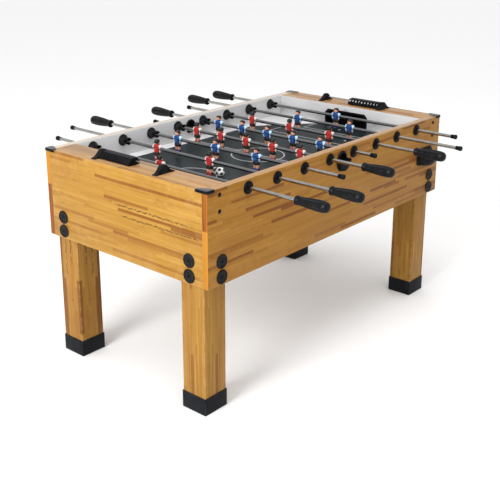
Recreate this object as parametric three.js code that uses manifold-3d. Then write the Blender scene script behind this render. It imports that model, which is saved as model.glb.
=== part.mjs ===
// Foosball table: eight sliding and turning rods over a sunk field, in a laminated wood cabinet.
// Millimetres. +Z up, X along the table's length, Y along the rods.
// The origin is on the floor, under the middle of the table.
import * as THREE from 'three';
import { mergeVertices } from 'three/addons/utils/BufferGeometryUtils.js';
import { ConvexGeometry } from 'three/addons/geometries/ConvexGeometry.js';
import Module from 'manifold-3d';

const wasm = await Module();
wasm.setup();

// ---------------------------------------------------------------- driving dimensions
const GAP = 0.3; // left between two pieces that touch
const SIDES = 12; // facets round a rod, a bearing or a handle
const LENGTH = 1400;
const WIDTH = 786;
const TOP = 781; // rim height above the floor
const APRON_BOTTOM = 460; // the long sides are 321 mm deep
const SIDE_T = 30; // long side panels
const END_T = 12; // outer end panels
const WALL_T = 12; // inner goal walls
const FIELD_HALF = 590; // half the field's length, to the goal walls' faces
const FIELD_TOP = 684;
const FIELD_T = 9;
const GROOVE = 6; // depth of the groove that holds the field board
const RAIL_T = 18; // flat boards between the end panels and the goal walls
const STRIP_EDGE = 330; // where the sloping side strips meet the flat field
const STRIP_RISE = 6;
const CORNER_X = 350; // the corner ramps run from here on the sides
const CORNER_Y = 144; // to here on the goal walls
const CORNER_RISE = 12;

const LEG = 100;
const LEG_TOP = 590;
const CAP_WALL = 2.7;
const CAP_FLOOR = 4;
const CAP_TOP = 62;
const BOLT_Z = [488, 540];
const BOLT_R = 5;
const BOLT_HOLE_R = 5.8;
const BOLT_HEAD_R = 24;
const BOLT_HEAD_T = 5;

const ROD_Z = 752;
const ROD_PITCH = 146.3;
const ROD_R = 6.35;
const ROD_BORE = 4.2;
const HANDLE = 122;
const HANDLE_DEPTH = 105; // how far the rod goes into its handle
const END_CAP = 24;
const END_CAP_R = 9.2;
const BARREL_R = 13;
const FLANGE_R = 22;
const FLANGE_T = 5;
const HUB_END = 36; // how far a bearing's hub stands inside the cabinet
const BARREL_HOLE_R = 13.9;

const GOAL_WIDTH = 204;
const GOAL_HEIGHT = 66;
const GOAL_CHAMFER = 14;
const FRAME_W = 7; // black frame round the goal mouth
const FRAME_T = 3;

const ENTRY_Z = 742;
const ENTRY_R = 19.5; // a 34 mm ball drops through
const POCKET_SHALLOW = 640; // the goal box's floor falls towards its chute
const POCKET_DEEP = 616;
const RETURN_X = 592;
const RETURN_W = 54;
const RETURN_LOW = 613;
const RETURN_HIGH = 657;
const BALL_R = 17;
const ENTRY_CUP = { halfWidth: 34, depth: 34, height: 40, shrink: 0.5, wall: 3, bottom: 698 };
const RETURN_CUP = { halfWidth: 56, depth: 54, height: 42, shrink: 0.6, wall: 3, bottom: 597 };
const RETURN_PLATE_T = 4;

const SCORER_X = 645;
const SCORER_SPAN = 140; // middle of the wire to a bracket's inner face
const BRACKET_T = 20;
const WIRE_Z = 797;
const WIRE_R = 2;
const CORE_R = 6; // the tube that joins the beads on the wire
const BEAD_COUNT = 10;
const BEAD_PITCH = 15.4;
const BEAD_T = 14.2;

const HALF_W = WIDTH / 2;
const INNER_HALF_W = HALF_W - SIDE_T;
const END_INNER = LENGTH / 2 - END_T;
const LEG_X = END_INNER - GAP - LEG / 2;
const LEG_Y = INNER_HALF_W - GAP - LEG / 2;

// A rod's players, the places along it of its ends, and where it stands at rest.
// side is the way its handle points: -1 to the front, +1 to the rear.
const KINDS = {
  goalie: { players: 1, spacing: 0, handleEnd: 712, capEnd: 570 },
  defence: { players: 2, spacing: 264, handleEnd: 772, capEnd: 630 },
  attack: { players: 3, spacing: 197, handleEnd: 702, capEnd: 576 },
  midfield: { players: 5, spacing: 129, handleEnd: 650, capEnd: 505 },
};
const RODS = [
  { kind: 'goalie', side: -1, shift: 5 },
  { kind: 'defence', side: -1, shift: 42 },
  { kind: 'attack', side: 1, shift: 18 },
  { kind: 'midfield', side: -1, shift: -5 },
  { kind: 'midfield', side: 1, shift: 14 },
  { kind: 'attack', side: -1, shift: 18 },
  { kind: 'defence', side: 1, shift: -42 },
  { kind: 'goalie', side: 1, shift: -3 },
];

// ---------------------------------------------------------------- materials
const finish = (color, roughness, metalness = 0) =>
  new THREE.MeshStandardMaterial({ color, roughness, metalness });
const wood = () => finish(0xd9a84e, 0.45);
const legWood = () => finish(0xd8a54c, 0.45);
const whiteBoard = () => finish(0xe6e6e8, 0.4);
const fieldPrint = () => finish(0x2e3638, 0.35);
const blackPlastic = () => finish(0x15161a, 0.5);
const rubber = () => finish(0x1b1d22, 0.8);
const chrome = () => finish(0xc8ccd0, 0.2, 1);
const ballWhite = () => finish(0xf2f2f0, 0.4);

// ---------------------------------------------------------------- solids
// A closed geometry with its shared corners merged, ready for cutting and joining.
function solid(geometry) {
  const bare = geometry.clone();
  bare.deleteAttribute('normal');
  bare.deleteAttribute('uv');
  const merged = mergeVertices(bare, 1e-4);
  const corners = Array.from(merged.index.array);
  const kept = [];
  for (let i = 0; i < corners.length; i += 3) {
    const [a, b, c] = corners.slice(i, i + 3);
    if (a !== b && b !== c && c !== a) {
      kept.push(a, b, c);
    }
  }
  const mesh = new wasm.Mesh({
    numProp: 3,
    vertProperties: new Float32Array(merged.attributes.position.array),
    triVerts: new Uint32Array(kept),
  });
  return new wasm.Manifold(mesh);
}

function geometryOf(body) {
  const mesh = body.getMesh();
  const geometry = new THREE.BufferGeometry();
  geometry.setAttribute('position', new THREE.BufferAttribute(mesh.vertProperties, 3));
  geometry.setIndex(new THREE.BufferAttribute(mesh.triVerts, 1));
  geometry.computeVertexNormals();
  return geometry;
}

// A box between two corners.
function block(low, high) {
  const size = low.map((value, i) => high[i] - value);
  const geometry = new THREE.BoxGeometry(...size);
  geometry.translate(...low.map((value, i) => (value + high[i]) / 2));
  return solid(geometry);
}

// A round bar along Y from one place to another.
function barY(radius, x, from, to, z, sides = SIDES) {
  const geometry = new THREE.CylinderGeometry(radius, radius, to - from, sides);
  geometry.translate(x, (from + to) / 2, z);
  return solid(geometry);
}

// A round bar along X from one place to another.
function barX(radius, from, to, y, z, sides = SIDES) {
  const geometry = new THREE.CylinderGeometry(radius, radius, to - from, sides);
  geometry.rotateZ(Math.PI / 2);
  geometry.translate((from + to) / 2, y, z);
  return solid(geometry);
}

// A turned piece on the Y axis from [radius, place along Y] pairs.
function turned(profile) {
  const points = profile.map(([r, y]) => new THREE.Vector2(r, y));
  return solid(new THREE.LatheGeometry(points, SIDES));
}

// The smallest convex solid round some [x, y, z] points.
function wrap(points) {
  return solid(new ConvexGeometry(points.map((p) => new THREE.Vector3(...p))));
}

// Four corners at one height, for wrap().
function slab(halfX, halfY, z) {
  return [[-halfX, -halfY, z], [halfX, -halfY, z], [halfX, halfY, z], [-halfX, halfY, z]];
}

// An outline in Y and Z pushed along X.
function plateX(outline, from, to) {
  const shape = new THREE.Shape(outline.map(([y, z]) => new THREE.Vector2(y, z)));
  const geometry = new THREE.ExtrudeGeometry(shape, { depth: to - from, bevelEnabled: false });
  geometry.rotateX(Math.PI / 2);
  geometry.rotateZ(Math.PI / 2);
  geometry.translate(from, 0, 0);
  return solid(geometry);
}

const table = new THREE.Group();
// The table looks the same after half a turn, so paired pieces are built once
// for the front or the right-hand end and placed again in this turned group.
const turnedHalf = new THREE.Group();
turnedHalf.rotation.z = Math.PI;
table.add(turnedHalf);

function addPart(name, body, material, parent = table) {
  const mesh = new THREE.Mesh(geometryOf(body), material);
  mesh.name = name;
  parent.add(mesh);
  return mesh;
}

// ---------------------------------------------------------------- cabinet
const rodX = (index) => (index - (RODS.length - 1) / 2) * ROD_PITCH;

function sidePanel() {
  let panel = block([-LENGTH / 2, -HALF_W, APRON_BOTTOM], [LENGTH / 2, -INNER_HALF_W, TOP]);
  const near = -HALF_W - 1;
  const far = -INNER_HALF_W + 1;
  for (let i = 0; i < RODS.length; i += 1) {
    panel = panel.subtract(barY(BARREL_HOLE_R, rodX(i), near, far, ROD_Z));
  }
  panel = panel.subtract(barY(ENTRY_R + 5, 0, near, far, ENTRY_Z, 16));
  const halfSlot = RETURN_W / 2;
  panel = panel.subtract(block(
    [RETURN_X - halfSlot, near, RETURN_LOW],
    [RETURN_X + halfSlot, far, RETURN_HIGH],
  ));
  for (const x of [-LEG_X, LEG_X]) {
    for (const z of BOLT_Z) {
      panel = panel.subtract(barY(BOLT_HOLE_R, x, near, far, z, 8));
    }
  }
  const grooveEnd = FIELD_HALF + WALL_T + GAP;
  return panel.subtract(block(
    [-grooveEnd, -INNER_HALF_W - GROOVE, FIELD_TOP - FIELD_T - GAP],
    [grooveEnd, far, FIELD_TOP + GAP],
  ));
}

function endPanel() {
  const half = INNER_HALF_W - GAP;
  let panel = block([END_INNER, -half, APRON_BOTTOM], [LENGTH / 2, half, TOP]);
  for (const y of [-LEG_Y, LEG_Y]) {
    for (const z of BOLT_Z) {
      panel = panel.subtract(barX(BOLT_HOLE_R, END_INNER - 1, LENGTH / 2 + 1, y, z, 8));
    }
  }
  return panel;
}

function endRail() {
  const half = INNER_HALF_W - GAP;
  const inner = FIELD_HALF + WALL_T + GAP;
  return block([inner, -half, TOP - RAIL_T], [END_INNER - GAP, half, TOP]);
}

// The goal mouth's outline in Y and Z, grown by a margin on its sides and top.
function mouth(margin, bottom) {
  const half = GOAL_WIDTH / 2 + margin;
  const top = FIELD_TOP + GAP + GOAL_HEIGHT + margin;
  return [
    [-half, bottom], [half, bottom], [half, top - GOAL_CHAMFER],
    [half - GOAL_CHAMFER, top], [GOAL_CHAMFER - half, top], [-half, top - GOAL_CHAMFER],
  ];
}

function goalWall() {
  const half = INNER_HALF_W - GAP;
  const wall = block(
    [FIELD_HALF, -half, FIELD_TOP + GAP],
    [FIELD_HALF + WALL_T, half, TOP],
  );
  const opening = mouth(CAP_WALL + GAP, FIELD_TOP - 1);
  return wall.subtract(plateX(opening, FIELD_HALF - 1, FIELD_HALF + WALL_T + 1));
}

// The flat field board, with the sloping side strips and corner ramps that are fixed on it.
function playfield() {
  const halfX = FIELD_HALF + WALL_T;
  const halfY = INNER_HALF_W + GROOVE - GAP;
  const endX = FIELD_HALF - GAP;
  const wallY = INNER_HALF_W - GAP;
  const sunk = FIELD_TOP - 1;
  let board = block([-halfX, -halfY, FIELD_TOP - FIELD_T], [halfX, halfY, FIELD_TOP]);
  for (const signY of [-1, 1]) {
    board = board.add(wrap([-endX, endX].flatMap((x) => [
      [x, signY * STRIP_EDGE, sunk], [x, signY * wallY, sunk],
      [x, signY * STRIP_EDGE, FIELD_TOP], [x, signY * wallY, FIELD_TOP + STRIP_RISE],
    ])));
    for (const signX of [-1, 1]) {
      const ramp = [
        [CORNER_X, STRIP_EDGE, 0], [endX, CORNER_Y, 0],
        [endX, wallY, CORNER_RISE], [CORNER_X, wallY, STRIP_RISE],
      ];
      board = board.add(wrap(ramp.flatMap(([x, y, rise]) => [
        [signX * x, signY * y, sunk], [signX * x, signY * y, FIELD_TOP + rise],
      ])));
    }
  }
  return board;
}

// A leg and its four bolts, for the corner that signX and signY name.
function leg(signX, signY) {
  const x = signX * LEG_X;
  const y = signY * LEG_Y;
  const half = LEG / 2;
  let body = block([x - half, y - half, CAP_FLOOR + GAP], [x + half, y + half, LEG_TOP]);
  const faceX = LENGTH / 2 + GAP;
  const faceY = HALF_W + GAP;
  for (const z of BOLT_Z) {
    const alongX = barX(BOLT_R, LEG_X, faceX + 1, 0, 0, 6)
      .add(barX(BOLT_HEAD_R, faceX, faceX + BOLT_HEAD_T, 0, 0, 16));
    const alongY = barY(BOLT_R, 0, LEG_Y, faceY + 1, 0, 6)
      .add(barY(BOLT_HEAD_R, 0, faceY, faceY + BOLT_HEAD_T, 0, 16));
    body = body.add(alongX.rotate([0, 0, signX > 0 ? 0 : 180]).translate([0, y, z]));
    body = body.add(alongY.rotate([0, 0, signY > 0 ? 0 : 180]).translate([x, 0, z]));
  }
  return body;
}

function footCap(signX, signY) {
  const x = signX * LEG_X;
  const y = signY * LEG_Y;
  const inner = LEG / 2 + GAP;
  const outer = inner + CAP_WALL;
  return block([x - outer, y - outer, 0], [x + outer, y + outer, CAP_TOP])
    .subtract(block([x - inner, y - inner, CAP_FLOOR], [x + inner, y + inner, CAP_TOP + 1]));
}

// ---------------------------------------------------------------- ball paths
// The goal box's outer or inner form: a box behind the goal mouth, and a chute from it
// that runs over the leg and down to the slot in the front panel.
function goalBoxForm(inset, top) {
  const back = END_INNER - GAP - inset;
  const front = FIELD_HALF + WALL_T + GAP + inset;
  const half = GOAL_WIDTH / 2 + CAP_WALL - inset;
  const shallow = POCKET_SHALLOW + inset;
  const deep = POCKET_DEEP + inset;
  const pocket = wrap([
    [front, -half, deep], [back, -half, deep], [back, half, shallow], [front, half, shallow],
    [front, -half, top], [back, -half, top], [back, half, top], [front, half, top],
  ]);
  const chuteStart = 8 - GOAL_WIDTH / 2 - inset;
  const chuteEnd = GAP - INNER_HALF_W - (inset > 0 ? 1 : 0);
  const chuteTop = FIELD_TOP - FIELD_T - 2 * GAP;
  const slotHalf = RETURN_W / 2 + CAP_WALL - inset;
  const low = RETURN_X - slotHalf;
  const high = RETURN_X + slotHalf;
  const floor = RETURN_LOW - CAP_WALL + inset;
  const chute = wrap([
    [low, chuteStart, deep], [back, chuteStart, deep],
    [low, chuteStart, chuteTop], [back, chuteStart, chuteTop],
    [low, chuteEnd, floor], [high, chuteEnd, floor],
    [low, chuteEnd, RETURN_HIGH], [high, chuteEnd, RETURN_HIGH],
  ]);
  return pocket.add(chute);
}

function goalBox() {
  const wallFace = FIELD_HALF + WALL_T + GAP;
  const boxTop = TOP - RAIL_T - GAP;
  const sill = FIELD_TOP + GAP;
  const sleeve = plateX(mouth(CAP_WALL, sill), FIELD_HALF - 1, wallFace + 1);
  const frame = plateX(mouth(FRAME_W, sill), FIELD_HALF - GAP - FRAME_T, FIELD_HALF - GAP);
  const opening = plateX(mouth(0, sill - 1), FIELD_HALF - 10, wallFace + 10);
  return goalBoxForm(0, boxTop)
    .add(sleeve)
    .add(frame)
    .subtract(opening)
    .subtract(goalBoxForm(CAP_WALL, boxTop + 5));
}

// A half-round scoop that hangs on the plane y = 0 and stands out towards -Y, open at its top.
function scoop({ halfWidth, depth, height, shrink, wall }) {
  const arc = (half, reach, z) => {
    const steps = 6;
    const points = [];
    for (let i = 0; i <= steps; i += 1) {
      const angle = (Math.PI * i) / steps;
      points.push([half * Math.cos(angle), -reach * Math.sin(angle), z]);
    }
    return points;
  };
  const outer = wrap([
    ...arc(halfWidth, depth, height),
    ...arc(halfWidth * shrink, depth * shrink, 0),
  ]);
  const cup = (z, by) => arc((halfWidth - wall) * by, (depth - wall) * by, z);
  const inner = wrap([...cup(height, 1), ...cup(wall, shrink)])
    .add(wrap([...cup(height - 0.01, 1), ...cup(height + 5, 1)]));
  return { outer, inner };
}

function ballEntry() {
  const outside = -HALF_W - GAP;
  const inside = -INNER_HALF_W + GAP;
  const lip = 12;
  const { outer, inner } = scoop(ENTRY_CUP);
  const cupY = outside - ENTRY_CUP.wall;
  const chin = wrap([
    [-22, inside, ENTRY_Z - 12], [22, inside, ENTRY_Z - 12],
    [-16, inside, ENTRY_Z - 28], [16, inside, ENTRY_Z - 28],
    [-14, inside + lip, ENTRY_Z - 18], [14, inside + lip, ENTRY_Z - 18],
  ]);
  return barY(ENTRY_R + 4, 0, outside - 4, inside + 4, ENTRY_Z, 16)
    .add(barY(ENTRY_R + 8, 0, outside - 4, outside, ENTRY_Z, 16))
    .add(barY(ENTRY_R + 7.5, 0, inside, inside + 4, ENTRY_Z, 16))
    .add(chin)
    .add(outer.translate([0, cupY + 1, ENTRY_CUP.bottom]))
    .subtract(inner.translate([0, cupY, ENTRY_CUP.bottom]))
    .subtract(barY(ENTRY_R, 0, outside - 20, inside + 20, ENTRY_Z, 16));
}

function ballReturn() {
  const outside = -HALF_W - GAP;
  const face = outside - RETURN_PLATE_T;
  const { outer, inner } = scoop(RETURN_CUP);
  const corners = [[62, 603], [62, 640], [40, 595], [40, 667]];
  const plate = wrap(corners.flatMap(([dx, z]) => [
    [RETURN_X - dx, outside, z], [RETURN_X + dx, outside, z],
    [RETURN_X - dx, face, z], [RETURN_X + dx, face, z],
  ]));
  const half = RETURN_W / 2 - CAP_WALL;
  const slot = block(
    [RETURN_X - half, outside - 20, RETURN_LOW],
    [RETURN_X + half, outside + 1, RETURN_HIGH - CAP_WALL],
  );
  return plate
    .add(outer.translate([RETURN_X, face + 1, RETURN_CUP.bottom]))
    .subtract(inner.translate([RETURN_X, face, RETURN_CUP.bottom]))
    .subtract(slot);
}

// ---------------------------------------------------------------- scorers
function scorerFrame() {
  const seat = TOP + GAP;
  let frame = barY(WIRE_R, SCORER_X, -SCORER_SPAN - 4, SCORER_SPAN + 4, WIRE_Z, 6);
  for (const side of [-1, 1]) {
    const inner = side * SCORER_SPAN;
    const outer = side * (SCORER_SPAN + BRACKET_T);
    const crown = side * (SCORER_SPAN + BRACKET_T - 4);
    frame = frame.add(wrap([
      ...[inner, outer].flatMap((y) => [
        [SCORER_X - 42, y, seat], [SCORER_X + 42, y, seat],
        [SCORER_X - 42, y, seat + 3], [SCORER_X + 42, y, seat + 3],
      ]),
      ...[inner, crown].flatMap((y) => [
        [SCORER_X - 15, y, seat + 25], [SCORER_X + 15, y, seat + 25],
        [SCORER_X - 9, y, seat + 29], [SCORER_X + 9, y, seat + 29],
      ]),
    ]));
  }
  return frame;
}

// The ten score beads, pushed to the front end of the wire and joined by a thin core.
function scoreBeads() {
  const seat = TOP + 2;
  const start = -SCORER_SPAN + GAP;
  const end = start + BEAD_COUNT * BEAD_PITCH;
  let stack = barY(CORE_R, SCORER_X, start + 2, end - 2, WIRE_Z, 6);
  for (let i = 0; i < BEAD_COUNT; i += 1) {
    const y = start + i * BEAD_PITCH;
    stack = stack.add(wrap([y, y + BEAD_T].flatMap((at) => [
      [SCORER_X - 25, at, seat], [SCORER_X + 25, at, seat],
      [SCORER_X - 25, at, seat + 7], [SCORER_X + 25, at, seat + 7],
      [SCORER_X - 13, at, seat + 24], [SCORER_X + 13, at, seat + 24],
    ])));
  }
  return stack.subtract(barY(WIRE_R + 0.6, SCORER_X, start - 5, end + 5, WIRE_Z, 6));
}

// ---------------------------------------------------------------- rods
// One player on the rod's axis, the same front and back so that it hangs upright.
function player() {
  const torso = wrap([
    ...slab(8, 9, 16), ...slab(11, 20.5, 6), ...slab(11, 19, -4), ...slab(10, 12, -14),
  ]);
  const shorts = wrap([...slab(10, 12, -13), ...slab(9.5, 12, -27)]);
  const legs = wrap([...slab(7, 10, -26), ...slab(6.5, 9.5, -41)]);
  const boots = wrap([...slab(6.5, 9.5, -40), ...slab(10.5, 10, -54)]);
  const head = new THREE.SphereGeometry(10, 8, 6).rotateX(Math.PI / 2).translate(0, 0, 24);
  return [shorts, legs, boots, solid(head)].reduce((whole, piece) => whole.add(piece), torso);
}

const onePlayer = player();

function rod({ kind, side, shift }) {
  const { players, spacing, handleEnd, capEnd } = KINDS[kind];
  const inHandle = side * (handleEnd - HANDLE + HANDLE_DEPTH) + shift;
  const capOuter = -side * capEnd + shift;
  const capInner = -side * (capEnd - END_CAP) + shift;
  const ends = (a, b) => [Math.min(a, b), Math.max(a, b)];
  let body = barY(ROD_R, 0, ...ends(inHandle, capInner), 0);
  body = body.add(barY(END_CAP_R, 0, ...ends(capInner, capOuter + 3 * side), 0));
  body = body.add(barY(END_CAP_R - 2, 0, ...ends(capInner, capOuter), 0));
  for (let i = 0; i < players; i += 1) {
    const y = (i - (players - 1) / 2) * spacing + shift;
    body = body.add(onePlayer.translate([0, y, 0]));
  }
  return body.subtract(barY(ROD_BORE, 0, ...ends(inHandle + side, capInner + side), 0));
}

// A handle on the Y axis: collar at y = 0, waist, grip and domed end.
function handle() {
  return turned([
    [0, HANDLE_DEPTH + 2], [ROD_R + GAP, HANDLE_DEPTH + 2], [ROD_R + GAP, 0], [15.6, 0],
    [15.6, 8], [13.6, 13], [19.2, 76], [19.2, 100], [12, 117], [0, HANDLE],
  ]);
}

// A bearing on the Y axis. Its outer flange lies on the panel's face at y = 0, and its hub
// stands inside the cabinet, past y = -SIDE_T.
function bearing() {
  const inner = -SIDE_T - GAP;
  return turned([
    [ROD_R + GAP, FLANGE_T + 3], [ROD_R + GAP, inner - HUB_END], [12, inner - HUB_END],
    [FLANGE_R, inner - 5], [FLANGE_R, inner], [BARREL_R, inner],
    [BARREL_R, GAP], [FLANGE_R, GAP], [FLANGE_R, FLANGE_T], [ROD_R + GAP, FLANGE_T + 3],
  ]);
}

// ---------------------------------------------------------------- assembly
const halves = [
  { parent: table, side: 'front', end: 'right' },
  { parent: turnedHalf, side: 'rear', end: 'left' },
];
for (const { parent, side, end } of halves) {
  addPart(`${side}_side_panel`, sidePanel(), wood(), parent);
  addPart(`${end}_end_panel`, endPanel(), wood(), parent);
  addPart(`${end}_end_rail`, endRail(), wood(), parent);
  addPart(`${end}_goal_wall`, goalWall(), whiteBoard(), parent);
  addPart(`${end}_goal_box`, goalBox(), blackPlastic(), parent);
  addPart(`${side}_ball_entry`, ballEntry(), blackPlastic(), parent);
  addPart(`${side}_ball_return`, ballReturn(), blackPlastic(), parent);
  addPart(`${end}_scorer_frame`, scorerFrame(), blackPlastic(), parent);
  addPart(`${end}_score_beads`, scoreBeads(), blackPlastic(), parent);
}
addPart('playfield', playfield(), fieldPrint());

for (const [signY, side] of [[-1, 'front'], [1, 'rear']]) {
  for (const [signX, end] of [[-1, 'left'], [1, 'right']]) {
    addPart(`leg_${side}_${end}`, leg(signX, signY), legWood());
    addPart(`foot_cap_${side}_${end}`, footCap(signX, signY), rubber());
  }
}

const handleBody = handle();
const bearingBody = bearing();
RODS.forEach((row, index) => {
  const number = index + 1;
  const rodMesh = addPart(`rod_${number}_${row.kind}`, rod(row), chrome());
  rodMesh.position.set(rodX(index), 0, ROD_Z);

  const handleMesh = addPart(`handle_${number}`, handleBody, rubber());
  const collar = row.side * (KINDS[row.kind].handleEnd - HANDLE) + row.shift;
  handleMesh.position.set(rodX(index), collar, ROD_Z);
  handleMesh.rotation.z = row.side > 0 ? 0 : Math.PI;

  const front = addPart(`bearing_${number}_front`, bearingBody, blackPlastic());
  front.position.set(rodX(index), -HALF_W, ROD_Z);
  front.rotation.z = Math.PI;
  const rear = addPart(`bearing_${number}_rear`, bearingBody, blackPlastic());
  rear.position.set(rodX(index), HALF_W, ROD_Z);
});

const ball = new THREE.Mesh(new THREE.IcosahedronGeometry(BALL_R, 2), ballWhite());
ball.name = 'ball';
ball.position.set(rodX(1) + 53, -90, FIELD_TOP + GAP + BALL_R);
table.add(ball);

export default table;
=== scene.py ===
"""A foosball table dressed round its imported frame: laminated wood, white boards, chromed rods, players."""
from math import acos, copysign, cos, degrees, pi, radians, sin, sqrt

import bmesh
import bpy
from mathutils import Matrix, Vector


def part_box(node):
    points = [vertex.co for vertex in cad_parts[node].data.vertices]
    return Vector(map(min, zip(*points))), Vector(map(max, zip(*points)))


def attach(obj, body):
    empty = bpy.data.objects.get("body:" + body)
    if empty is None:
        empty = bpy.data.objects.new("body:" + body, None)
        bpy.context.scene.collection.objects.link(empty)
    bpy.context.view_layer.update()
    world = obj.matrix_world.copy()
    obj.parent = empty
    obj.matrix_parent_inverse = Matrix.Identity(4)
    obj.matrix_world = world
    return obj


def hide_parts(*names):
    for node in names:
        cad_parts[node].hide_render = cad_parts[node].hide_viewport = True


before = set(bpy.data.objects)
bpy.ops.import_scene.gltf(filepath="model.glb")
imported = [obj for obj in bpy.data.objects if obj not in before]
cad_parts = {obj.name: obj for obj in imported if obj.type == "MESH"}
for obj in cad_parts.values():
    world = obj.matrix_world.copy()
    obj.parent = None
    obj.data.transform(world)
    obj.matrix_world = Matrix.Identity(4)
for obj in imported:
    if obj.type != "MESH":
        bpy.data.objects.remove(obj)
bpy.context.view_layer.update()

# ---- driving sizes, in metres
TOP = 0.781
APRON_BOTTOM = 0.46
HALF_L = 0.7
HALF_W = 0.393
INNER_W = 0.363
FIELD_HALF = 0.59
FIELD_TOP = 0.684
FIELD_T = 0.009
GROOVE = 0.006
WALL_T = 0.012
END_T = 0.012
REBATE = 0.0075
RAIL_T = 0.018
GAP = 0.0003

ROD_Z = 0.752
ROD_R = 0.00635
ROD_PITCH = 0.1463
ROD_COUNT = 8
PANEL_BORE_R = 0.0139
RED, BLUE = "red", "blue"
# kind: players, spacing, end of the handle, end of the plain cap
KINDS = {
    "goalie": (1, 0, 0.712, 0.57),
    "defence": (2, 0.264, 0.772, 0.63),
    "attack": (3, 0.197, 0.702, 0.576),
    "midfield": (5, 0.129, 0.65, 0.505),
}
HANDLE = 0.122
HANDLE_BORE = 0.028
END_CAP = 0.024
CAP_BORE = 0.004
# kind, side of the handle, shift at rest
RODS = (
    ("goalie", -1, 0.005), ("defence", -1, 0.042), ("attack", 1, 0.018), ("midfield", -1, -0.005),
    ("midfield", 1, 0.014), ("attack", -1, 0.018), ("defence", 1, -0.042), ("goalie", 1, -0.003),
)

GOAL_HALF = 0.102
GOAL_HEIGHT = 0.066
GOAL_CHAMFER = 0.014
ENTRY_Z = 0.742
ENTRY_R = 0.0195
RETURN_X = 0.592
RETURN_Z = 0.597
SLOT_LOW = 0.613
LEG_X, LEG_Y = 0.6377, 0.3127
LEG_HALF = 0.05
LEG_TOP = 0.59
LEG_FOOT = 0.0043
BOLT_Z = (0.488, 0.54)
BOLT_HEAD_R = 0.024
SCREW_X = 0.645
SCREW_Z = (0.706, 0.76)
SCORER_X = 0.645
SCORER_SPAN = 0.14
WIRE_Z = 0.797
BEAD_COUNT = 10
BEAD_PITCH = 0.0154
BEAD_T = 0.0142
STRIP_EDGE = 0.33
STRIP_RISE = 0.006
CORNER_X = 0.35
CORNER_Y = 0.144
CORNER_RISE = 0.012
BALL_R = 0.017

# A face looks along an axis from this cosine on, and lies on an outer face of the box within this depth.
FACING = 0.6
SKIN_DEPTH = 0.003
TINY = 1e-5
WELD = 1e-6

HALF_TURN = Matrix.Rotation(pi, 4, "Z")
IDENTITY = Matrix.Identity(4)
# The paired pieces are made for the front or the right and turned for the rear or the left.
SIDES = (("front", IDENTITY), ("rear", HALF_TURN))
ENDS = (("right", IDENTITY), ("left", HALF_TURN))


def mm(*rows):
    """Rows of millimetres as tuples of metres."""
    return [tuple(value / 1000 for value in row) for row in rows]


def rod_x(index):
    return (index - (ROD_COUNT - 1) / 2) * ROD_PITCH


def new_object(name, data):
    made = bpy.data.objects.new(name, data)
    bpy.context.scene.collection.objects.link(made)
    return made


# ---- camera, light and floor
def make_camera():
    place = Vector((-2.5184, -2.1262, 1.578))
    yaw, pitch, roll = 0.7102, 0.3049, -0.003
    ahead = Vector((cos(yaw) * cos(pitch), sin(yaw) * cos(pitch), -sin(pitch)))
    data = bpy.data.cameras.new("camera")
    data.sensor_width = 36
    data.lens = 63.5
    data.shift_y = -0.12
    data.clip_start = 0.05
    data.clip_end = 100
    camera = new_object("camera", data)
    turn = ahead.to_track_quat("-Z", "Y").to_matrix().to_4x4()
    camera.matrix_world = Matrix.Translation(place) @ turn @ Matrix.Rotation(-roll, 4, "Z")
    bpy.context.scene.camera = camera


def area_light(name, place, target, size, watts):
    data = bpy.data.lights.new(name, "AREA")
    data.shape = "DISK"
    data.size = size
    data.energy = watts
    lamp = new_object(name, data)
    lamp.location = place
    lamp.rotation_euler = (Vector(target) - Vector(place)).to_track_quat("-Z", "Y").to_euler()


def make_stage():
    scene = bpy.context.scene
    scene.view_settings.view_transform = "Standard"
    world = bpy.data.worlds.new("studio")
    world.use_nodes = True
    sky = world.node_tree.nodes["Background"].inputs
    sky["Color"].default_value = (1, 1, 1, 1)
    sky["Strength"].default_value = 0.97
    scene.world = world
    area_light("key", (-4.4, -0.3, 2.5), (0, 0, 0.6), 2.2, 185)
    area_light("top", (-0.5, -0.9, 4), (0, 0.2, 0.6), 2.2, 36)
    bpy.ops.mesh.primitive_plane_add(size=60)
    floor = bpy.context.object
    floor.name = "floor"
    paint = Graph("floor_paint", (0.94, 0.94, 0.94), 0.8, Specular_IOR_Level=0.1)
    floor.data.materials.append(paint.material)


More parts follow.
